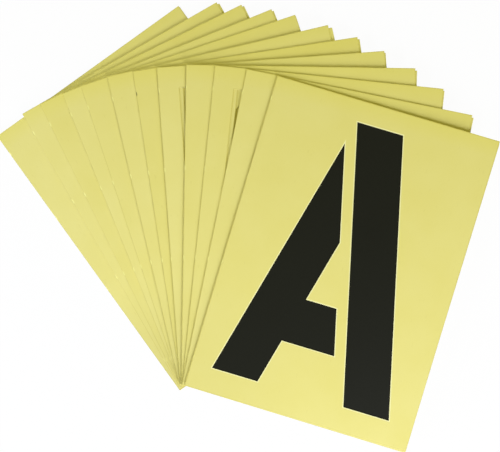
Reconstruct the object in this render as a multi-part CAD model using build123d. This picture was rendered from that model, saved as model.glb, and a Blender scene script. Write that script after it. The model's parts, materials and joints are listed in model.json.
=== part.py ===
from build123d import *
import os
from math import hypot, sqrt

# A set of stencil sheets of oiled board, fanned out about one corner, with the letter A in front.
# The front sheet lies along X and Y with its face up. The origin is on the surface that the set lies on,
# where the upright line that the sheets turn about meets it. Sizes are in millimetres, angles in degrees.

# Cut characters
LETTER_WIDTH = 203.2
LETTER_HEIGHT = 304.8
NUMERAL_WIDTH = 177.8  # most figures, and the G, P and R
NARROWING = 5.6  # most other letters are narrower than the A, E, K, M and W by this
STROKE = 50.8
BRIDGE = 12.7  # width of the strips that hold the inner pieces of board
INNER_RADIUS = 25.4  # inside corners of the round characters
END_LENGTH = 25.4  # how far the open ends of the round characters turn in
ARM_SHORTENING = 25.4  # the middle arm of the E and F is shorter by this
POINT_LEVEL = 76.2  # where the middle point of the M stops above its foot
SPLAY = 19.05  # how far the legs of the M lean in
TAIL_HEIGHT = 88.9  # the tail of the Q
TAIL_WIDTH = 30.0
FLAG = 38.1  # how far the flag of the 1 stands out from its stem
NUB = 25.4  # how far the bar of the 4 passes its stem

# Sheets
MARGIN = 25.4  # board around the largest character
CUT_SHIFT_ACROSS = -2.1  # how far the cuts sit to the right of the sheet's middle
CUT_SHIFT_ALONG = 1.5  # and above it
BOARD = 0.5
AIR_GAP = 0.1  # between one sheet and the next in the pile
BACKING_LAP = 12.7  # how far the black backing sheet reaches past the letter that it backs

# The fan, leaf by leaf from the front. A leaf is a few sheets that lie nearly square on each other.
# Each row gives the leaf's characters from its top sheet down, its turn from the front leaf,
# where the turning line crosses its sheets, in from the left edge and up from the bottom edge,
# both in insets of the front leaf, and the spread of its sheets.
INSET = 5.0  # where the turning line crosses the front leaf, in from both edges
SLIP = 1.0  # the most that a sheet has slid down on the top sheet of its leaf
FAN = [
    ("ab", 0.0, 1.0, 1.0, 0.35),
    ("cd", 5.1, 1.7, 1.0, 0.4),
    ("ef", 10.8, 1.8, 1.0, 0.28),
    ("ghij", 15.8, 2.1, 1.0, 0.4),
    ("klm", 20.9, 2.5, 1.1, 0.28),
    ("no", 25.4, 2.5, 1.0, 0.4),
    ("pqr", 29.9, 2.9, 0.8, 0.75),
    ("st", 35.1, 2.9, 0.8, 0.1),
    ("uvw", 38.7, 3.0, 0.7, 0.33),
    ("xyz", 43.0, 3.4, 0.4, 0.4),
    ("012", 46.6, 3.6, 0.1, 0.4),
    ("3456789", 52.4, 4.1, 0.7, 0.1),
]
SCATTER = 0.9  # step from sheet to sheet of a leaf through the spread and the slip

# Derived sizes
SHEET_WIDTH = LETTER_WIDTH + 2 * MARGIN
SHEET_LENGTH = LETTER_HEIGHT + 2 * MARGIN
PITCH = BOARD + AIR_GAP
NARROW_WIDTH = LETTER_WIDTH - NARROWING
BAR_LOW = (LETTER_HEIGHT - STROKE) / 2
BAR_HIGH = (LETTER_HEIGHT + STROKE) / 2
END_LOW = STROKE + END_LENGTH
END_HIGH = LETTER_HEIGHT - END_LOW
BOWL_LEFT = STROKE + BRIDGE
REACH = SHEET_WIDTH + SHEET_LENGTH  # longer than any character
ROUND_LIMIT = 0.49  # share of a side that a round corner may take


# Strokes


def bar(left, bottom, right, top):
    """An upright rectangle between these edges."""
    return Pos((left + right) / 2, (bottom + top) / 2) * Rectangle(right - left, top - bottom)


def stem(left):
    """An upright stroke of full height."""
    return bar(left, 0, left + STROKE, LETTER_HEIGHT)


def level_width(run, rise, width=STROKE):
    """The level width of a stroke that leans by a run over a rise."""
    return width * hypot(run, rise) / rise


def leg(foot, head, bottom=0, top=LETTER_HEIGHT, width=STROKE):
    """A leaning stroke with level ends. Its left edge runs from foot to head."""
    across = level_width(head - foot, top - bottom, width)
    return Polygon((foot, bottom), (foot + across, bottom), (head + across, top), (head, top))


def across_of(total, rise, runs=1, width=STROKE):
    """The level width of a leaning stroke, where that width and so many equal leans fill a total width."""
    lean = (width / (runs * rise)) ** 2
    return (sqrt(width**2 * (1 - lean) + lean * total**2) - lean * total) / (1 - lean)


def rounded(left, bottom, right, top, radius):
    """A round-cornered rectangle between these edges."""
    width, height = right - left, top - bottom
    corner = min(radius, ROUND_LIMIT * width, ROUND_LIMIT * height)
    return Pos((left + right) / 2, (bottom + top) / 2) * RectangleRounded(width, height, corner)


def ring(left, bottom, right, top):
    """A round-cornered frame, one stroke wide."""
    outer = rounded(left, bottom, right, top, INNER_RADIUS + STROKE)
    inner = rounded(left + STROKE, bottom + STROKE, right - STROKE, top - STROKE, INNER_RADIUS)
    return outer - inner


def bowl(width, bottom, top):
    """The round stroke of a B, D, P or R, clear of its stem by a bridge."""
    wide_ring = ring(-width, bottom, width, top)
    return wide_ring - bar(-REACH, -REACH, BOWL_LEFT, REACH)


def stacked_rings(width):
    """Two rings, one on the other, that share a middle bar."""
    return ring(0, 0, width, BAR_HIGH) + ring(0, BAR_LOW, width, LETTER_HEIGHT)


def bridged(cut, width):
    """A cut with an upright bridge down its middle."""
    return cut - bar((width - BRIDGE) / 2, -REACH, (width + BRIDGE) / 2, REACH)


# Letters


def letter_a(width):
    across = across_of(width, LETTER_HEIGHT, runs=2)
    run = (width - across) / 2
    gap = BRIDGE * across / STROKE
    right_leg = leg(width - across, run)
    crossbar = bar(STROKE, STROKE, width - STROKE, 2 * STROKE)
    bridge = leg(width - across - gap, run - gap, width=BRIDGE + STROKE)
    return right_leg + (leg(0, run) + crossbar - bridge)


def letter_b(width):
    return stem(0) + (bowl(width, 0, BAR_HIGH) + bowl(width, BAR_LOW, LETTER_HEIGHT))


def letter_c(width):
    open_ring = ring(0, 0, width, LETTER_HEIGHT) - bar(width / 2, END_LOW, REACH, END_HIGH)
    return bridged(open_ring, width)


def letter_d(width):
    return stem(0) + bowl(width, 0, LETTER_HEIGHT)


def letter_e(width):
    return letter_f(width) + bar(0, 0, width, STROKE)


def letter_f(width):
    top_arm = bar(0, LETTER_HEIGHT - STROKE, width, LETTER_HEIGHT)
    middle_arm = bar(0, BAR_LOW, width - ARM_SHORTENING, BAR_HIGH)
    return stem(0) + top_arm + middle_arm


def letter_g(width):
    open_ring = ring(0, 0, width, LETTER_HEIGHT) - bar(width / 2, BAR_HIGH, REACH, END_HIGH)
    return bridged(open_ring + bar(width / 2, BAR_LOW, width, BAR_HIGH), width)


def letter_h(width):
    return stem(0) + stem(width - STROKE) + bar(0, BAR_LOW, width, BAR_HIGH)


def letter_i(width):
    return bar(0, 0, width, LETTER_HEIGHT)


def letter_j(width):
    return letter_u(width) - bar(-REACH, END_LOW, width / 2, REACH)


def letter_k(width):
    middle = LETTER_HEIGHT / 2
    across = across_of(width - BOWL_LEFT, middle)
    upper_arm = leg(BOWL_LEFT, width - across, bottom=middle)
    lower_arm = leg(width - across, BOWL_LEFT, top=middle)
    return stem(0) + (upper_arm + lower_arm)


def letter_l(width):
    return stem(0) + bar(0, 0, width, STROKE)


def letter_m(width):
    right_foot = width - level_width(SPLAY, LETTER_HEIGHT)
    legs = leg(0, SPLAY) + leg(right_foot, right_foot - SPLAY)
    across = across_of(width - 2 * SPLAY, LETTER_HEIGHT - POINT_LEVEL, runs=2)
    foot = (width - across) / 2
    right_head = width - SPLAY - across
    point = leg(foot, SPLAY, bottom=POINT_LEVEL) + leg(foot, right_head, bottom=POINT_LEVEL)
    return legs + point


def letter_n(width):
    across = across_of(width, LETTER_HEIGHT)
    return stem(0) + stem(width - STROKE) + leg(width - across, 0)


def letter_o(width):
    return bridged(ring(0, 0, width, LETTER_HEIGHT), width)


def letter_p(width):
    return stem(0) + bowl(width, BAR_LOW, LETTER_HEIGHT)


def letter_q(width):
    bridge_right = (width + BRIDGE) / 2
    across = across_of(width - bridge_right, TAIL_HEIGHT, width=TAIL_WIDTH)
    tail = leg(width - across, bridge_right, top=TAIL_HEIGHT, width=TAIL_WIDTH)
    return letter_o(width) + tail


def letter_r(width):
    middle = LETTER_HEIGHT / 2
    across = across_of(width - BOWL_LEFT, middle)
    return letter_p(width) + leg(width - across, BOWL_LEFT, top=middle)


def letter_s(width):
    upper_hook = ring(0, BAR_LOW, width, LETTER_HEIGHT) - bar(width / 2, -REACH, REACH, END_HIGH)
    lower_hook = ring(0, 0, width, BAR_HIGH) - bar(-REACH, END_LOW, width / 2, REACH)
    return bridged(upper_hook + lower_hook, width)


def letter_t(width):
    return bar(0, LETTER_HEIGHT - STROKE, width, LETTER_HEIGHT) + stem((width - STROKE) / 2)


def letter_u(width):
    return ring(0, 0, width, 2 * LETTER_HEIGHT) - bar(-REACH, LETTER_HEIGHT, REACH, 2 * REACH)


def letter_v(width):
    across = across_of(width, LETTER_HEIGHT, runs=2)
    foot = (width - across) / 2
    return leg(foot, 0) + leg(foot, width - across)


def letter_w(width):
    return Pos(width, LETTER_HEIGHT) * Rot(0, 0, 180) * letter_m(width)


def letter_x(width):
    across = across_of(width, LETTER_HEIGHT)
    return leg(0, width - across) + leg(width - across, 0)


def letter_y(width):
    across = across_of(width, LETTER_HEIGHT - BAR_LOW, runs=2)
    foot = (width - across) / 2
    arms = leg(foot, 0, bottom=BAR_LOW) + leg(foot, width - across, bottom=BAR_LOW)
    return arms + bar(foot, 0, foot + across, BAR_LOW)


def letter_z(width):
    across = across_of(width, LETTER_HEIGHT)
    top_bar = bar(0, LETTER_HEIGHT - STROKE, width, LETTER_HEIGHT)
    return top_bar + bar(0, 0, width, STROKE) + leg(0, width - across)


# Figures


def figure_1(width):
    flag = leg(0, FLAG, bottom=END_HIGH) - bar(width, -REACH, REACH, REACH)
    return stem(FLAG) + flag


def figure_2(width):
    upper_hook = ring(0, BAR_LOW, width, LETTER_HEIGHT) - bar(-REACH, -REACH, width / 2, END_HIGH)
    arch = ring(0, -LETTER_HEIGHT, width, BAR_HIGH) - bar(-REACH, -REACH, REACH, 0)
    left_arch = arch - bar(width / 2, -REACH, REACH, REACH)
    return bridged(upper_hook + left_arch + bar(0, 0, width, STROKE), width)


def figure_3(width):
    return bridged(stacked_rings(width) - bar(-REACH, END_LOW, width / 2, END_HIGH), width)


def figure_4(width):
    stem_left = width - NUB - STROKE
    sloping_leg = leg(0, stem_left, bottom=STROKE)
    left_bar = bar(0, STROKE, stem_left, 2 * STROKE)
    left_part = sloping_leg + left_bar - bar(stem_left - BRIDGE, -REACH, REACH, REACH)
    return stem(stem_left) + bar(stem_left, STROKE, width, 2 * STROKE) + left_part


def figure_5(width):
    top_bar = bar(0, LETTER_HEIGHT - STROKE, width, LETTER_HEIGHT)
    upper_stem = bar(0, BAR_LOW, STROKE, LETTER_HEIGHT)
    lower_ring = ring(0, 0, width, BAR_HIGH) + bar(0, BAR_LOW, width / 2, BAR_HIGH)
    open_ring = lower_ring - bar(-REACH, END_LOW, width / 2, BAR_LOW)
    return bridged(top_bar + upper_stem + open_ring, width)


def figure_6(width):
    tall_hook = ring(0, 0, width, LETTER_HEIGHT) - bar(width / 2, -REACH, REACH, END_HIGH)
    return bridged(tall_hook + ring(0, 0, width, BAR_HIGH), width)


def figure_7(width):
    foot = STROKE / 2
    across = across_of(width - foot, LETTER_HEIGHT)
    return bar(0, LETTER_HEIGHT - STROKE, width, LETTER_HEIGHT) + leg(foot, width - across)


def figure_8(width):
    return bridged(stacked_rings(width), width)


def figure_9(width):
    return Pos(width, LETTER_HEIGHT) * Rot(0, 0, 180) * figure_6(width)


# The cut of each character with its width
CUTS = {
    "a": (letter_a, LETTER_WIDTH),
    "b": (letter_b, NARROW_WIDTH),
    "c": (letter_c, NARROW_WIDTH),
    "d": (letter_d, NARROW_WIDTH),
    "e": (letter_e, LETTER_WIDTH),
    "f": (letter_f, NARROW_WIDTH),
    "g": (letter_g, NUMERAL_WIDTH),
    "h": (letter_h, NARROW_WIDTH),
    "i": (letter_i, STROKE),
    "j": (letter_j, NARROW_WIDTH),
    "k": (letter_k, LETTER_WIDTH),
    "l": (letter_l, NARROW_WIDTH),
    "m": (letter_m, LETTER_WIDTH),
    "n": (letter_n, NARROW_WIDTH),
    "o": (letter_o, NARROW_WIDTH),
    "p": (letter_p, NUMERAL_WIDTH),
    "q": (letter_q, NARROW_WIDTH),
    "r": (letter_r, NUMERAL_WIDTH),
    "s": (letter_s, NARROW_WIDTH),
    "t": (letter_t, NARROW_WIDTH),
    "u": (letter_u, NARROW_WIDTH),
    "v": (letter_v, NARROW_WIDTH),
    "w": (letter_w, LETTER_WIDTH),
    "x": (letter_x, NARROW_WIDTH),
    "y": (letter_y, NARROW_WIDTH),
    "z": (letter_z, NARROW_WIDTH),
    "0": (letter_o, NUMERAL_WIDTH),
    "1": (figure_1, FLAG + STROKE),
    "2": (figure_2, NUMERAL_WIDTH),
    "3": (figure_3, NUMERAL_WIDTH),
    "4": (figure_4, LETTER_WIDTH),
    "5": (figure_5, NUMERAL_WIDTH),
    "6": (figure_6, NUMERAL_WIDTH),
    "7": (figure_7, NUMERAL_WIDTH),
    "8": (figure_8, NUMERAL_WIDTH),
    "9": (figure_9, NUMERAL_WIDTH),
}


# Sheets


def stencil_sheet(character):
    """A flat sheet with its lower left corner at the origin and a character cut through it."""
    make_cut, width = CUTS[character]
    cut_left = (SHEET_WIDTH - width) / 2 + CUT_SHIFT_ACROSS
    cut = Pos(cut_left, MARGIN + CUT_SHIFT_ALONG) * make_cut(width)
    return extrude(bar(0, 0, SHEET_WIDTH, SHEET_LENGTH) - cut, amount=BOARD)


def backing_sheet():
    """The plain sheet under the front stencil, in the same place on it as the letter."""
    width = LETTER_WIDTH + 2 * BACKING_LAP
    length = LETTER_HEIGHT + 2 * BACKING_LAP
    middle = Pos(SHEET_WIDTH / 2 + CUT_SHIFT_ACROSS, SHEET_LENGTH / 2 + CUT_SHIFT_ALONG)
    return extrude(middle * Rectangle(width, length), amount=BOARD)


def fanned_sheets():
    """Each sheet's name, flat shape, turn and turning point, from the top of the pile down."""
    sheets = []
    for characters, turn, insets_across, insets_along, spread in FAN:
        for place, character in enumerate(characters):
            share = place * SCATTER % 1
            flat = stencil_sheet(character)
            inset = (insets_across * INSET, insets_along * INSET + SLIP * share)
            sheets.append((f"stencil_{character}", flat, turn - spread * share, inset))
    front_turn, front_inset = sheets[0][2:]
    sheets.insert(1, ("backing_sheet", backing_sheet(), front_turn, front_inset))
    return sheets


os.makedirs("parts", exist_ok=True)
pile = fanned_sheets()
pile.reverse()
for level, (name, flat, turn, inset) in enumerate(pile):
    in_pile = Pos(0, 0, level * PITCH) * Rot(0, 0, turn) * Pos(-inset[0], -inset[1]) * flat
    export_step(in_pile, f"parts/{name}.step")
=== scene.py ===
import json
import math

import bmesh
import bpy
from mathutils import Matrix, Vector


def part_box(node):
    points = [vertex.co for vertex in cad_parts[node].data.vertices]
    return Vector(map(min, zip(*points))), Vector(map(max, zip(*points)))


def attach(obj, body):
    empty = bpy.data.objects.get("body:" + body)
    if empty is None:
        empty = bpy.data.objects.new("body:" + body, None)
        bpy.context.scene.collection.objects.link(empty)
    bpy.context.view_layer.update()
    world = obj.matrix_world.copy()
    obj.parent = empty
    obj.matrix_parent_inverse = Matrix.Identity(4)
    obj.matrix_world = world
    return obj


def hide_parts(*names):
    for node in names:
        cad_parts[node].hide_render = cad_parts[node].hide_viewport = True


# A set of stencil sheets of oiled yellow board, fanned out about one corner on a white floor.
# Lengths are in metres and angles in degrees. A place on a sheet is measured from the sheet's lower left
# corner, across its width, along its length and up from its underside.

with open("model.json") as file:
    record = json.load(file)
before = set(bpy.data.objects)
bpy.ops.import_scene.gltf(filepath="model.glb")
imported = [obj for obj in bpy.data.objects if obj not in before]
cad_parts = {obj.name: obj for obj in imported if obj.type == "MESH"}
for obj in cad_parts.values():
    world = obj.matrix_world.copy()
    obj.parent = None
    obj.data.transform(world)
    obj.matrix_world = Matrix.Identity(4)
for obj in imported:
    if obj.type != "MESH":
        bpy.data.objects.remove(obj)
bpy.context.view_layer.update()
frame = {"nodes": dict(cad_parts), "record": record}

MM = 0.001

# Sheets, as the frame holds them
FRONT = "stencil_a"
BACKING = "backing_sheet"
STENCILS = sorted(name for name in frame["nodes"] if name != BACKING)
FRONT_LOW, FRONT_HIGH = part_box(FRONT)
SHEET_WIDTH, SHEET_LENGTH, BOARD = FRONT_HIGH - FRONT_LOW
DIAGONAL = math.atan2(SHEET_LENGTH, SHEET_WIDTH)

# Edges of the board
MERGE = 0.01 * MM  # points closer than this are taken as one
UPRIGHT = 0.5  # a face stands upright where its normal rises or falls by less than this
ROLL_WIDTH = 0.9 * MM  # strip along each edge that the knife rolls down
FRONT_ROLL_WIDTH = 1.4 * MM  # the same strip on the front sheet, wider; along its letter it carries a painted highlight
ROLL_DEPTH = 0.07 * MM
LETTER_EDGE_SHADE = 2.0  # how dark the painted shade along the edges of a letter is, beside that along the sheet's outline

# Nicks in the left edge, where the sheet hung in the die
TOP_NICK = 330 * MM
NICKS = {  # how far along the edge each nick is, and its share of the depth
    33.5 * MM: 0.25,
    142 * MM: 0.7,
    241 * MM: 1.0,
    TOP_NICK: 1.0,
}
NICK_LENGTH = 7.5 * MM
NICK_WIDTH = 1.3 * MM
NICK_DEPTH = 0.25 * MM
NICK_STEPS = 6
TORN = {"stencil_n": TOP_NICK}  # the nick of a sheet that is torn, and painted dark

# Torn fibres at the nicks
FIBRE_COUNT = 7
FIBRE_LENGTH = 0.7 * MM
FIBRE_RADIUS = 0.06 * MM
FIBRE_SIZES = (0.5, 1.2)  # the smallest and the largest, beside that length and radius
FIBRE_SIDES = 4
FIBRE_HEIGHT = BOARD / 2 - NICK_DEPTH / 4  # above the underside of the sheet
FIBRE_LAID = -90  # the turn that points a fibre out of the left edge
FIBRE_YAW = 50
FIBRE_PITCH = 5
FIBRE_SEED = 7
TURN_SEED = 1000  # added to the seed for the fibres' turns
SIZE_SEED = 2000  # added to the seed for their sizes

# How far the top right corners of the upper sheets lift, where the pile is loose
LIFT = {
    FRONT: 2.8 * MM,
    BACKING: 2.2 * MM,
    "stencil_b": 0.4 * MM,
    "stencil_c": 0.3 * MM,
    "stencil_d": 0.25 * MM,
    "stencil_e": 0.2 * MM,
    "stencil_f": 0.1 * MM,
}
LIFT_STEPS = 6
LIFT_POWER = 2  # how late along a sheet the lift grows

# Grain of the board: its noises, with scales per metre, and the values of each that become 0 and 1
CLOUD_NOISE = {"scale": 16.0, "detail": 3.0, "roughness": 0.55}
FIBRE_NOISE = {"scale": 900.0, "detail": 4.0, "roughness": 0.62}
FLECK_NOISE = {"scale": 420.0, "detail": 1.0, "roughness": 0.5}
CLOUD_RANGE = (0.3, 0.7)
FIBRE_RANGE = (0.3, 0.7)
FLECK_RANGE = (0.70, 0.76)
GRAIN_STRETCH = (1.0, 0.28, 1.0)  # draws the fibres and flecks out along the sheet
SEED_STEP = 0.31  # how far apart the sheets lie in the grain

# Tone of each sheet, from 0 for pale to 1 for deep
SEEN_TONES = {  # the sheets that show in the fan
    "stencil_a": 0.40,
    "stencil_c": 0.10,
    "stencil_e": 0.35,
    "stencil_g": 0.40,
    "stencil_k": 0.00,
    "stencil_n": 0.60,
    "stencil_p": 0.20,
    "stencil_s": 0.30,
    "stencil_u": 0.00,
    "stencil_x": 0.40,
    "stencil_0": 0.05,
    "stencil_3": 0.05,
}
HIDDEN_TONES = 0.5  # the deepest tone of the other sheets
TONE_STEP = 0.31  # from sheet to sheet through the tones of the others

# Painted shade at the corner that the set is fanned about, where the leaves crowd together
CORNER_SHADE_NEAR = 30 * MM
CORNER_SHADE_FAR = 125 * MM
CORNER_SHADE_DEPTH = 0.30  # how much of the painted shade's colour shows at the corner
CORNER_EDGE_SHADE = 0.45  # how much more of the painted edge shade shows there
FRONT_CORNER_SHADE = 0.25  # the front sheet's share of the painted corner shade, which grows to one at the bottom of the pile

# Painted shade at the top ends, deeper and more saturated
TOP_SHADE_REACH = 20 * MM
TOP_SHADE_DEPTH = 0.35

# How much of its colour each mark brings to the board, painted shade and highlight among them
CLOUD_SHARE = 0.35
TONE_SHARE = 0.6
FIBRE_SHARE = 0.10
FLECK_SHARE = 0.08
# painted shade along the edges
EDGE_SHADE_SHARE = 0.3
# painted highlight along the front sheet's letter
EDGE_HIGHLIGHT_SHARE = 0.8
EDGE_HIGHLIGHT_FULL = 0.6  # how strong the painted highlight's mark is where it reaches that share
NICK_FULL = 0.4  # how deep a nick is where it is all bare and its painted glint is full
TORN_NICK_DARK_RANGE = (0.1, 0.5)  # how deep a torn nick is where its dark paint starts, and where it is all dark
CORE_FIBRE_SHARE = 0.5
CORE_FLECK_SHARE = 0.4

# Finish of each board: its roughness, its shine, and the strength and the height of its tooth
OIL_ROUGHNESS = (0.58, 0.72)
OIL_SHINE = 0.3
OIL_TOOTH = (0.25, 0.04 * MM)
FIBRE_ROUGHENING = 0.5  # how much the fibres roughen the oiled board, beside the cloud
CLOUD_TOOTH = 0.4  # how much of the tooth of the oiled board is cloud, beside the fibres
NICK_SMOOTHING = 0.12  # how much less rough a bare nick is
CORE_ROUGHNESS = 0.8
CORE_SHINE = 0.25
CORE_TOOTH = (0.4, 0.06 * MM)
BLACK_ROUGHNESS = (0.55, 0.7)
BLACK_SHINE = 0.08
BLACK_TOOTH = (0.2, 0.04 * MM)

# Colours, as linear red, green and blue
PALE_BOARD = (0.81, 0.742, 0.256, 1)
DEEP_BOARD = (0.76, 0.680, 0.168, 1)
FLECK_COLOUR = (0.50, 0.40, 0.07, 1)
# painted shade along the edges, where the sheets shade each other
EDGE_SHADE_COLOUR = (0.50, 0.42, 0.05, 1)
# painted shade at the corner that the set is fanned about
CORNER_SHADE_COLOUR = (0.31, 0.28, 0.08, 1)
# painted dark in a torn nick
TORN_NICK_DARK = (0.14, 0.13, 0.02, 1)
# painted shade at the top ends
TOP_SHADE_COLOUR = (0.78, 0.70, 0.09, 1)
# painted highlight along the front sheet's letter
EDGE_HIGHLIGHT_COLOUR = (0.97, 0.94, 0.50, 1)
# pale bare fibres, and in the nicks a painted glint
NICK_COLOUR = (0.90, 0.85, 0.27, 1)
CORE_COLOUR = (0.62, 0.58, 0.33, 1)
BLACK_COLOUR = (0.0056, 0.0059, 0.0030, 1)
BLACK_FIBRE = (0.0095, 0.0100, 0.0056, 1)
FLOOR_COLOUR = (0.90, 0.90, 0.90, 1)
WHITE = (1, 1, 1, 1)

# Camera, straight above the set, with its lens and sensor in millimetres
CAMERA_PLACE = (13.54 * MM, 183.38 * MM, 547.1 * MM)
CAMERA_TURN = 16.714
LENS = 34.36
SENSOR = 36.0

# Lamps: name, azimuth to the right of the bottom of the picture, elevation, distance, sides,
# power in watts and colour
COOL = (0.84, 0.86, 1.0)
COLD = (0.66, 0.71, 1.0)
WARM = (1.0, 0.95, 0.22)
LAMPS = [
    ("right_softbox", 27, 26, 1.8, (0.4, 1.15), 42.8, COOL),
    ("left_softbox", -75, 26, 1.5, (0.55, 0.95), 18.9, COLD),
    ("top_softbox", -80, 82, 1.6, (0.8, 0.8), 3.9, WARM),
    ("back_softbox", 160, 35, 2.0, (0.6, 0.6), 6.3, WARM),
]

# Even light from all round, and the floor
AMBIENT = 0.04
AMBIENT_COLOUR = (*WARM, 1)
FLOOR_SIZE = 8.0
FLOOR_GLOW = 0.96  # the share of plain white in the floor that is seen


# Where each sheet lies


def place_of(node):
    """The matrix that takes a place on this sheet to the row frame."""
    points = [vertex.co for vertex in frame["nodes"][node].data.vertices]
    # The lower left corner is nearest to the upright axis of the row frame, which the sheets turn about.
    corner = min(points, key=lambda point: point.xy.length)
    far = max(points, key=lambda point: (point.xy - corner.xy).length)
    turn = math.atan2(far.y - corner.y, far.x - corner.x) - DIAGONAL
    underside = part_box(node)[0].z
    return Matrix.Translation((corner.x, corner.y, underside)) @ Matrix.Rotation(turn, 4, "Z")


def body_of(node):
    """The body that this node rides on."""
    groups = frame["record"]["behaviour"]["bodies"]
    return next(body for body, nodes in groups.items() if node in nodes)


# Helpers for objects and nodes


def new_object(name, data):
    """A new object in the scene."""
    made = bpy.data.objects.new(name, data)
    bpy.context.scene.collection.objects.link(made)
    return made


def add(tree, kind, inputs=None, **settings):
    """A new node with its settings and its inputs, each a value or a socket to link from."""
    node = tree.nodes.new(kind)
    for name, value in settings.items():
        setattr(node, name, value)
    for name, value in (inputs or {}).items():
        if isinstance(value, bpy.types.NodeSocket):
            tree.links.new(value, node.inputs[name])
        else:
            node.inputs[name].default_value = value
    return node


def noise(tree, vector, scale, detail, roughness):
    """The value of a noise on a vector."""
    inputs = {"Vector": vector, "Scale": scale, "Detail": detail, "Roughness": roughness}
    return add(tree, "ShaderNodeTexNoise", inputs).outputs["Fac"]


def ranged(tree, value, low, high, to_low=0.0, to_high=1.0):
    """A value taken from one range to another and held inside it."""
    inputs = {"Value": value, "From Min": low, "From Max": high, "To Min": to_low, "To Max": to_high}
    return add(tree, "ShaderNodeMapRange", inputs).outputs["Result"]


def times(tree, value, factor):
    """A value times another."""
    return add(tree, "ShaderNodeMath", {0: value, 1: factor}, operation="MULTIPLY").outputs[0]


def plus(tree, value, other):
    """A value plus another."""
    return add(tree, "ShaderNodeMath", {0: value, 1: other}, operation="ADD").outputs[0]


def mixed(tree, factor, first, second):
    """The first colour, and more of the second where the factor is higher."""
    # Inputs 6 and 7 and output 2 are the colours of this node.
    node = add(tree, "ShaderNodeMix", {0: factor, 6: first, 7: second}, data_type="RGBA")
    return node.outputs[2]


def random_number(tree, low, high, seed):
    """A random number between two others, for each point."""
    # Inputs 2 and 3 and output 1 are the plain numbers of this node.
    inputs = {2: low, 3: high, "Seed": seed}
    return add(tree, "FunctionNodeRandomValue", inputs, data_type="FLOAT").outputs[1]


def random_turn(tree, low, high, seed):
    """A random turn between two others, given in degrees, for each point."""
    # Inputs 0 and 1 and output 0 are the vectors of this node.
    lowest = [math.radians(angle) for angle in low]
    highest = [math.radians(angle) for angle in high]
    inputs = {0: lowest, 1: highest, "Seed": seed}
    return add(tree, "FunctionNodeRandomValue", inputs, data_type="FLOAT_VECTOR").outputs[0]


def attribute(tree, name, output):
    """An output of an attribute of the mesh."""
    return add(tree, "ShaderNodeAttribute", attribute_name=name).outputs[output]


def new_material(name):
    """A material with an empty tree and its output."""
    material = bpy.data.materials.new(name)
    material.use_nodes = True
    material.node_tree.nodes.clear()
    output = add(material.node_tree, "ShaderNodeOutputMaterial")
    return material, material.node_tree, output


# Board grain, shared by every board


def board_grain_group():
    """Cloudy tone, fibres and flecks of pressed board at a place on a sheet."""
    tree = bpy.data.node_groups.new("board_grain", "ShaderNodeTree")
    tree.interface.new_socket("Place", in_out="INPUT", socket_type="NodeSocketVector")
    for name in ("Cloud", "Fibre", "Fleck"):
        tree.interface.new_socket(name, in_out="OUTPUT", socket_type="NodeSocketFloat")
    place = add(tree, "NodeGroupInput").outputs["Place"]
    out = add(tree, "NodeGroupOutput")
    cloud = noise(tree, place, **CLOUD_NOISE)
    along = add(tree, "ShaderNodeMapping", {"Vector": place, "Scale": GRAIN_STRETCH}).outputs[0]
    fibre = noise(tree, along, **FIBRE_NOISE)
    fleck = noise(tree, along, **FLECK_NOISE)
    tree.links.new(ranged(tree, cloud, *CLOUD_RANGE), out.inputs["Cloud"])
    tree.links.new(ranged(tree, fibre, *FIBRE_RANGE), out.inputs["Fibre"])
    tree.links.new(ranged(tree, fleck, *FLECK_RANGE), out.inputs["Fleck"])
    return tree


BOARD_GRAIN = board_grain_group()


def board_grain(tree, place):
    """The cloud, fibre and fleck of the board at a place, by name."""
    return add(tree, "ShaderNodeGroup", {"Place": place}, node_tree=BOARD_GRAIN).outputs


# Materials


def painted_corner_shade(tree):
    """How much painted shade a sheet has, from one at the corner that the set is fanned about to zero
    further off.
    """
    place = attribute(tree, "sheet_place", "Vector")
    flat = add(tree, "ShaderNodeVectorMath", {0: place, 1: (1, 1, 0)}, operation="MULTIPLY").outputs[0]
    away = add(tree, "ShaderNodeVectorMath", {0: flat}, operation="LENGTH").outputs["Value"]
    near = ranged(tree, away, CORNER_SHADE_NEAR, CORNER_SHADE_FAR, 1.0, 0.0)
    return times(tree, near, attribute(tree, "corner_shade", "Fac"))


def painted_top_shade(tree):
    """How much painted shade a sheet has towards its top end, from zero to one at that end."""
    place = attribute(tree, "sheet_place", "Vector")
    along = add(tree, "ShaderNodeSeparateXYZ", {0: place}).outputs["Y"]
    return ranged(tree, along, SHEET_LENGTH - TOP_SHADE_REACH, SHEET_LENGTH)


def oiled_colour(tree, grain):
    """The colour of clean oiled board, with its grain and tone, and painted shade, deeper and more
    saturated, at the top end.
    """
    cloud = times(tree, grain["Cloud"], CLOUD_SHARE)
    tone = times(tree, attribute(tree, "tone", "Fac"), TONE_SHARE)
    colour = mixed(tree, plus(tree, cloud, tone), PALE_BOARD, DEEP_BOARD)
    colour = mixed(tree, times(tree, grain["Fibre"], FIBRE_SHARE), colour, DEEP_BOARD)
    colour = mixed(tree, times(tree, grain["Fleck"], FLECK_SHARE), colour, FLECK_COLOUR)
    return mixed(tree, times(tree, painted_top_shade(tree), TOP_SHADE_DEPTH), colour, TOP_SHADE_COLOUR)


def painted_shade_colour(tree, colour):
    """A colour with painted shade at the corner that the set is fanned about, and along the edges."""
    corner_shade = painted_corner_shade(tree)
    colour = mixed(tree, times(tree, corner_shade, CORNER_SHADE_DEPTH), colour, CORNER_SHADE_COLOUR)
    edge_shade_share = plus(tree, EDGE_SHADE_SHARE, times(tree, corner_shade, CORNER_EDGE_SHADE))
    edge_shade = times(tree, attribute(tree, "edge_shade", "Fac"), edge_shade_share)
    return mixed(tree, edge_shade, colour, EDGE_SHADE_COLOUR)


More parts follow.
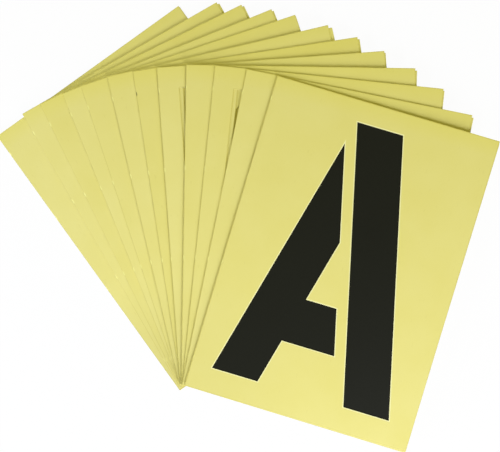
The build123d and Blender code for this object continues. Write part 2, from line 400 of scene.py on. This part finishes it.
def highlight_and_nick_colour(tree, colour, bared_and_glint):
    """A colour with a painted highlight along the front sheet's letter, pale bare fibres and a painted
    glint in the nicks, and a torn nick painted dark.
    """
    edge_highlight = ranged(tree, attribute(tree, "edge_highlight", "Fac"), 0.0, EDGE_HIGHLIGHT_FULL, 0.0, EDGE_HIGHLIGHT_SHARE)
    colour = mixed(tree, edge_highlight, colour, EDGE_HIGHLIGHT_COLOUR)
    colour = mixed(tree, bared_and_glint, colour, NICK_COLOUR)
    dark_mark = ranged(tree, attribute(tree, "dark_mark", "Fac"), *TORN_NICK_DARK_RANGE)
    return mixed(tree, dark_mark, colour, TORN_NICK_DARK)


def add_board_shader(tree, output, colour, roughness, shine, relief, tooth):
    """The shader of a board, whose relief is felt as a tooth of a strength and a height."""
    strength, height = tooth
    bump = add(tree, "ShaderNodeBump", {"Strength": strength, "Distance": height, "Height": relief})
    inputs = {
        "Base Color": colour,
        "Roughness": roughness,
        "Specular IOR Level": shine,
        "Normal": bump.outputs[0],
    }
    shader = add(tree, "ShaderNodeBsdfPrincipled", inputs)
    tree.links.new(shader.outputs[0], output.inputs["Surface"])


def oil_board():
    """Yellow board soaked in oil, with its grain and tone, painted shade along its edges, at its fanned
    corner and at its top end, painted highlights along the front letter and in the nicks, and a torn
    nick painted dark.
    """
    material, tree, output = new_material("oil_board")
    grain = board_grain(tree, attribute(tree, "sheet_place", "Vector"))
    bared_and_glint = ranged(tree, attribute(tree, "nick", "Fac"), 0.0, NICK_FULL)
    colour = oiled_colour(tree, grain)
    colour = painted_shade_colour(tree, colour)
    colour = highlight_and_nick_colour(tree, colour, bared_and_glint)
    uneven = plus(tree, grain["Cloud"], times(tree, grain["Fibre"], FIBRE_ROUGHENING))
    roughness = ranged(tree, uneven, 0.0, 1 + FIBRE_ROUGHENING, *OIL_ROUGHNESS)
    roughness = plus(tree, roughness, times(tree, bared_and_glint, -NICK_SMOOTHING))
    relief = plus(tree, grain["Fibre"], times(tree, grain["Cloud"], CLOUD_TOOTH))
    add_board_shader(tree, output, colour, roughness, OIL_SHINE, relief, OIL_TOOTH)
    return material


def board_core():
    """The cut edge of the yellow board, where its pale fibres show."""
    material, tree, output = new_material("board_core")
    grain = board_grain(tree, add(tree, "ShaderNodeTexCoord").outputs["Object"])
    colour = mixed(tree, times(tree, grain["Fibre"], CORE_FIBRE_SHARE), CORE_COLOUR, DEEP_BOARD)
    colour = mixed(tree, times(tree, grain["Fleck"], CORE_FLECK_SHARE), colour, NICK_COLOUR)
    add_board_shader(tree, output, colour, CORE_ROUGHNESS, CORE_SHINE, grain["Fibre"], CORE_TOOTH)
    return material


def black_board():
    """Matte black board."""
    material, tree, output = new_material("black_board")
    grain = board_grain(tree, attribute(tree, "sheet_place", "Vector"))
    mean = times(tree, plus(tree, grain["Cloud"], grain["Fibre"]), 0.5)
    colour = mixed(tree, mean, BLACK_COLOUR, BLACK_FIBRE)
    roughness = ranged(tree, grain["Cloud"], 0.0, 1.0, *BLACK_ROUGHNESS)
    add_board_shader(tree, output, colour, roughness, BLACK_SHINE, grain["Fibre"], BLACK_TOOTH)
    return material


def seen_directly(tree):
    """One for rays from the camera, a mirror or glass, and zero for the rays that light the scene."""
    path = add(tree, "ShaderNodeLightPath")
    seen = plus(tree, path.outputs["Is Camera Ray"], path.outputs["Is Glossy Ray"])
    seen = plus(tree, seen, path.outputs["Is Transmission Ray"])
    return add(tree, "ShaderNodeClamp", {"Value": seen}).outputs[0]


def white_floor():
    """A white floor that keeps a pale shadow."""
    material, tree, output = new_material("white_floor")
    matte = add(tree, "ShaderNodeBsdfDiffuse", {"Color": FLOOR_COLOUR})
    glow = add(tree, "ShaderNodeEmission", {"Color": WHITE, "Strength": 1.0})
    factor = times(tree, seen_directly(tree), FLOOR_GLOW)
    mix = add(tree, "ShaderNodeMixShader", {0: factor, 1: matte.outputs[0], 2: glow.outputs[0]})
    tree.links.new(mix.outputs[0], output.inputs["Surface"])
    return material


# Sheets


def link_piece(name, mesh, node):
    """A new piece of the object, from a mesh in the row frame, on the body of a node."""
    piece = new_object(name, mesh)
    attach(piece, body_of(node))
    return piece


def sheet_in_own_place(node, place):
    """The sheet's mesh, merged, in places on the sheet."""
    sheet = bmesh.new()
    sheet.from_mesh(frame["nodes"][node].data)
    bmesh.ops.remove_doubles(sheet, verts=sheet.verts, dist=MERGE)
    bmesh.ops.transform(sheet, matrix=place.inverted(), verts=sheet.verts)
    sheet.normal_update()
    return sheet


def is_cut_face(face):
    """Whether a face stands upright, as the cut edges of a sheet do."""
    return abs(face.normal.z) < UPRIGHT


def on_outline(across, along):
    """Whether a place is on the outer edge of a sheet."""
    clear = min(across, along, SHEET_WIDTH - across, SHEET_LENGTH - along)
    return clear < MERGE


def roll_edges(sheet, highlighted):
    """Rolls the top face down along every edge, and marks the strip there for painted shade, or, on the
    front sheet's letter, for a painted highlight.
    """
    layers = sheet.verts.layers.float
    layers.new("edge_shade")
    layers.new("edge_highlight")
    top_faces = [face for face in sheet.faces if face.normal.z > UPRIGHT]
    width = FRONT_ROLL_WIDTH if highlighted else ROLL_WIDTH
    bmesh.ops.inset_region(
        sheet,
        faces=top_faces,
        thickness=width,
        use_boundary=True,
        use_even_offset=True,
    )
    sheet.normal_update()
    for vertex in sheet.verts:
        beside_cut = any(is_cut_face(face) for face in vertex.link_faces)
        if beside_cut and vertex.co.z > BOARD / 2:
            vertex.co.z -= ROLL_DEPTH
            if on_outline(vertex.co.x, vertex.co.y):
                vertex[layers["edge_shade"]] = 1.0
            elif highlighted:
                vertex[layers["edge_highlight"]] = 1.0
            else:
                vertex[layers["edge_shade"]] = LETTER_EDGE_SHADE


def cut_across(sheet, point, normal):
    """Splits the faces of a sheet along a plane."""
    everything = sheet.verts[:] + sheet.edges[:] + sheet.faces[:]
    bmesh.ops.bisect_plane(sheet, geom=everything, dist=MERGE, plane_co=point, plane_no=normal)


def press_nicks(sheet, torn):
    """Presses the nicks into the left edge, and marks them for their pale bare fibres and painted glint,
    or to be painted dark where one is torn.
    """
    layers = sheet.verts.layers.float
    layers.new("nick")
    layers.new("dark_mark")
    cut_across(sheet, (NICK_WIDTH, 0, 0), (1, 0, 0))
    for nick in NICKS:
        for step in range(NICK_STEPS + 1):
            along = nick + NICK_LENGTH * (step / NICK_STEPS - 0.5)
            cut_across(sheet, (0, along, 0), (0, 1, 0))
    for vertex in sheet.verts:
        across, along, height = vertex.co
        if height < BOARD / 2 or across > NICK_WIDTH:
            continue
        nearest = min(NICKS, key=lambda nick: abs(along - nick))
        away = abs(along - nearest)
        if away < NICK_LENGTH / 2:
            bowl = 0.5 + 0.5 * math.cos(2 * math.pi * away / NICK_LENGTH)
            press = NICKS[nearest] * bowl * (1 - across / NICK_WIDTH)
            vertex.co.z -= NICK_DEPTH * press
            vertex[layers["dark_mark" if nearest == torn else "nick"]] = press


def lift_corner(sheet, rise):
    """Lifts the top right corner of a sheet, less and less towards its other corners."""
    for step in range(1, LIFT_STEPS):
        cut_across(sheet, (0, SHEET_LENGTH * step / LIFT_STEPS, 0), (0, 1, 0))
        cut_across(sheet, (SHEET_WIDTH * step / LIFT_STEPS, 0, 0), (1, 0, 0))
    for vertex in sheet.verts:
        across, along = vertex.co.xy
        vertex.co.z += rise * (across / SHEET_WIDTH) * (along / SHEET_LENGTH) ** LIFT_POWER


def finish_of(node, number):
    """How deep the colour of a sheet is, and how much painted shade its fanned corner has."""
    tone = SEEN_TONES.get(node, number * TONE_STEP % HIDDEN_TONES)
    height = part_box(node)[0].z / FRONT_LOW.z  # from zero at the bottom of the pile to one at the front
    return {"tone": tone, "corner_shade": 1 + (FRONT_CORNER_SHADE - 1) * height}


def sheet_mesh(name, sheet, place, number, finish, materials):
    """A mesh in the row frame from a sheet in its own places, which it keeps as an attribute."""
    for face in sheet.faces:
        face.material_index = 1 if is_cut_face(face) else 0
    own_places = [Vector((vertex.co.x, vertex.co.y, number * SEED_STEP)) for vertex in sheet.verts]
    bmesh.ops.transform(sheet, matrix=place, verts=sheet.verts)
    mesh = bpy.data.meshes.new(name)
    sheet.to_mesh(mesh)
    sheet.free()
    places = mesh.attributes.new("sheet_place", "FLOAT_VECTOR", "POINT")
    for item, own_place in zip(places.data, own_places):
        item.vector = own_place
    for label, amount in finish.items():
        layer = mesh.attributes.new(label, "FLOAT", "POINT")
        for item in layer.data:
            item.value = amount
    for material in materials:
        mesh.materials.append(material)
    return mesh


def stencil_piece(node, place, number, materials):
    """A stencil with rolled edges and nicks in place of its plain sheet."""
    sheet = sheet_in_own_place(node, place)
    roll_edges(sheet, highlighted=node == FRONT)
    press_nicks(sheet, TORN.get(node))
    if node in LIFT:
        lift_corner(sheet, LIFT[node])
    sheet.normal_update()
    name = node + "_board"
    mesh = sheet_mesh(name, sheet, place, number, finish_of(node, number), materials)
    piece = link_piece(name, mesh, node)
    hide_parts(node)


def backing_piece(place, material):
    """The black sheet behind the front stencil, in places on that stencil."""
    sheet = sheet_in_own_place(BACKING, place)
    lift_corner(sheet, LIFT[BACKING])
    sheet.normal_update()
    name = BACKING + "_board"
    mesh = sheet_mesh(name, sheet, place, number=0, finish={}, materials=[material, material])
    piece = link_piece(name, mesh, BACKING)
    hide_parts(BACKING)


# Torn fibres


def add_fibre_sockets(tree):
    """The inputs and the output of the tree of the fibres."""
    tree.interface.new_socket("Geometry", in_out="INPUT", socket_type="NodeSocketGeometry")
    tree.interface.new_socket("Geometry", in_out="OUTPUT", socket_type="NodeSocketGeometry")
    numbers = {
        "Count": ("NodeSocketInt", FIBRE_COUNT),
        "Nick Length": ("NodeSocketFloat", NICK_LENGTH),
        "Fibre Length": ("NodeSocketFloat", FIBRE_LENGTH),
        "Fibre Radius": ("NodeSocketFloat", FIBRE_RADIUS),
        "Seed": ("NodeSocketInt", FIBRE_SEED),
    }
    for name, (kind, value) in numbers.items():
        tree.interface.new_socket(name, in_out="INPUT", socket_type=kind).default_value = value
    tree.interface.new_socket("Material", in_out="INPUT", socket_type="NodeSocketMaterial")


def spread_points(tree, given):
    """The points of the mesh, each copied and spread along its nick."""
    inputs = {"Geometry": given["Geometry"], "Amount": given["Count"]}
    copies = add(tree, "GeometryNodeDuplicateElements", inputs, domain="POINT")
    half = times(tree, given["Nick Length"], 0.5)
    shift = random_number(tree, times(tree, half, -1.0), half, given["Seed"])
    offset = add(tree, "ShaderNodeCombineXYZ", {"Y": shift})
    inputs = {"Geometry": copies.outputs["Geometry"], "Offset": offset.outputs[0]}
    return add(tree, "GeometryNodeSetPosition", inputs).outputs[0]


def pointed_fibre(tree, given):
    """One fibre, drawn out to a point."""
    inputs = {
        "Vertices": FIBRE_SIDES,
        "Radius Top": 0.0,
        "Radius Bottom": given["Fibre Radius"],
        "Depth": given["Fibre Length"],
    }
    return add(tree, "GeometryNodeMeshCone", inputs).outputs["Mesh"]


def fibres_on_points(tree, given, points):
    """A fibre on every point, out of the left edge, each with its own turn and size."""
    turn = random_turn(
        tree,
        (0, FIBRE_LAID - FIBRE_PITCH, -FIBRE_YAW),
        (0, FIBRE_LAID + FIBRE_PITCH, FIBRE_YAW),
        plus(tree, given["Seed"], TURN_SEED),
    )
    size = random_number(tree, *FIBRE_SIZES, plus(tree, given["Seed"], SIZE_SEED))
    inputs = {
        "Points": points,
        "Instance": pointed_fibre(tree, given),
        "Rotation": turn,
        "Scale": size,
    }
    return add(tree, "GeometryNodeInstanceOnPoints", inputs).outputs[0]


def nick_fibres_tree():
    """Geometry nodes that set torn fibres around each point of a mesh."""
    tree = bpy.data.node_groups.new("nick_fibres", "GeometryNodeTree")
    add_fibre_sockets(tree)
    given = add(tree, "NodeGroupInput").outputs
    points = spread_points(tree, given)
    fibres = fibres_on_points(tree, given, points)
    real = add(tree, "GeometryNodeRealizeInstances", {0: fibres})
    dressed = add(tree, "GeometryNodeSetMaterial", {0: real.outputs[0], "Material": given["Material"]})
    out = add(tree, "NodeGroupOutput")
    tree.links.new(dressed.outputs[0], out.inputs["Geometry"])
    return tree


def socket_identifier(tree, name):
    """The identifier of one of a tree's inputs."""
    items = tree.interface.items_tree
    return next(item.identifier for item in items if item.name == name and item.in_out == "INPUT")


def nick_fibre_piece(node, place, number, tree, material):
    """The torn fibres along the left edge of a stencil."""
    name = node + "_nick_fibres"
    points = bpy.data.meshes.new(name + "_points")
    points.from_pydata([(0, nick, FIBRE_HEIGHT) for nick in NICKS], [], [])
    host = new_object(name + "_host", points)
    modifier = host.modifiers.new("fibres", "NODES")
    modifier.node_group = tree
    modifier[socket_identifier(tree, "Seed")] = FIBRE_SEED + number
    modifier[socket_identifier(tree, "Material")] = material
    shown = host.evaluated_get(bpy.context.evaluated_depsgraph_get())
    mesh = bpy.data.meshes.new_from_object(shown)
    bpy.data.objects.remove(host)
    bpy.data.meshes.remove(points)
    mesh.name = name
    mesh.transform(place)
    piece = link_piece(name, mesh, node)


# The set

BOARD_MATERIALS = [oil_board(), board_core()]
FIBRES_TREE = nick_fibres_tree()
for number, node in enumerate(STENCILS):
    sheet_place = place_of(node)
    stencil_piece(node, sheet_place, number, BOARD_MATERIALS)
    nick_fibre_piece(node, sheet_place, number, FIBRES_TREE, BOARD_MATERIALS[1])
backing_piece(place_of(FRONT), black_board())


# Floor, light and camera


def add_floor():
    """The floor that the set lies on."""
    half = FLOOR_SIZE / 2
    mesh = bpy.data.meshes.new("floor")
    corners = [(-half, -half, 0), (half, -half, 0), (half, half, 0), (-half, half, 0)]
    mesh.from_pydata(corners, [], [(0, 1, 2, 3)])
    mesh.materials.append(white_floor())
    new_object("floor", mesh)


def add_lamp(name, azimuth, elevation, distance, sides, power, colour):
    """A large soft lamp, aimed at the place on the floor under the camera."""
    lamp = bpy.data.lights.new(name, "AREA")
    lamp.shape = "RECTANGLE"
    lamp.size, lamp.size_y = sides
    lamp.energy = power
    lamp.color = colour
    heading = math.radians(CAMERA_TURN + azimuth)
    rise = math.radians(elevation)
    level = math.cos(rise)
    away = Vector((math.sin(heading) * level, -math.cos(heading) * level, math.sin(rise)))
    target = Vector((CAMERA_PLACE[0], CAMERA_PLACE[1], 0))
    softbox = new_object(name, lamp)
    softbox.location = target + away * distance
    softbox.rotation_euler = away.to_track_quat("Z", "Y").to_euler()


def set_world():
    """Even light from all round, and white where it is seen."""
    world = bpy.data.worlds.new("studio")
    world.use_nodes = True
    tree = world.node_tree
    tree.nodes.clear()
    light = add(tree, "ShaderNodeBackground", {"Color": AMBIENT_COLOUR, "Strength": AMBIENT})
    white = add(tree, "ShaderNodeBackground", {"Color": WHITE, "Strength": 1.0})
    inputs = {0: seen_directly(tree), 1: light.outputs[0], 2: white.outputs[0]}
    mix = add(tree, "ShaderNodeMixShader", inputs)
    output = add(tree, "ShaderNodeOutputWorld")
    tree.links.new(mix.outputs[0], output.inputs["Surface"])
    bpy.context.scene.world = world


def add_camera():
    """The camera straight above the set."""
    lens = bpy.data.cameras.new("camera")
    lens.lens = LENS
    lens.sensor_width = SENSOR
    camera = new_object("camera", lens)
    camera.location = CAMERA_PLACE
    camera.rotation_euler = (0, 0, math.radians(CAMERA_TURN))
    bpy.context.scene.camera = camera


add_floor()
for lamp in LAMPS:
    add_lamp(*lamp)
set_world()
add_camera()
bpy.context.scene.view_settings.view_transform = "Standard"

bpy.context.view_layer.update()
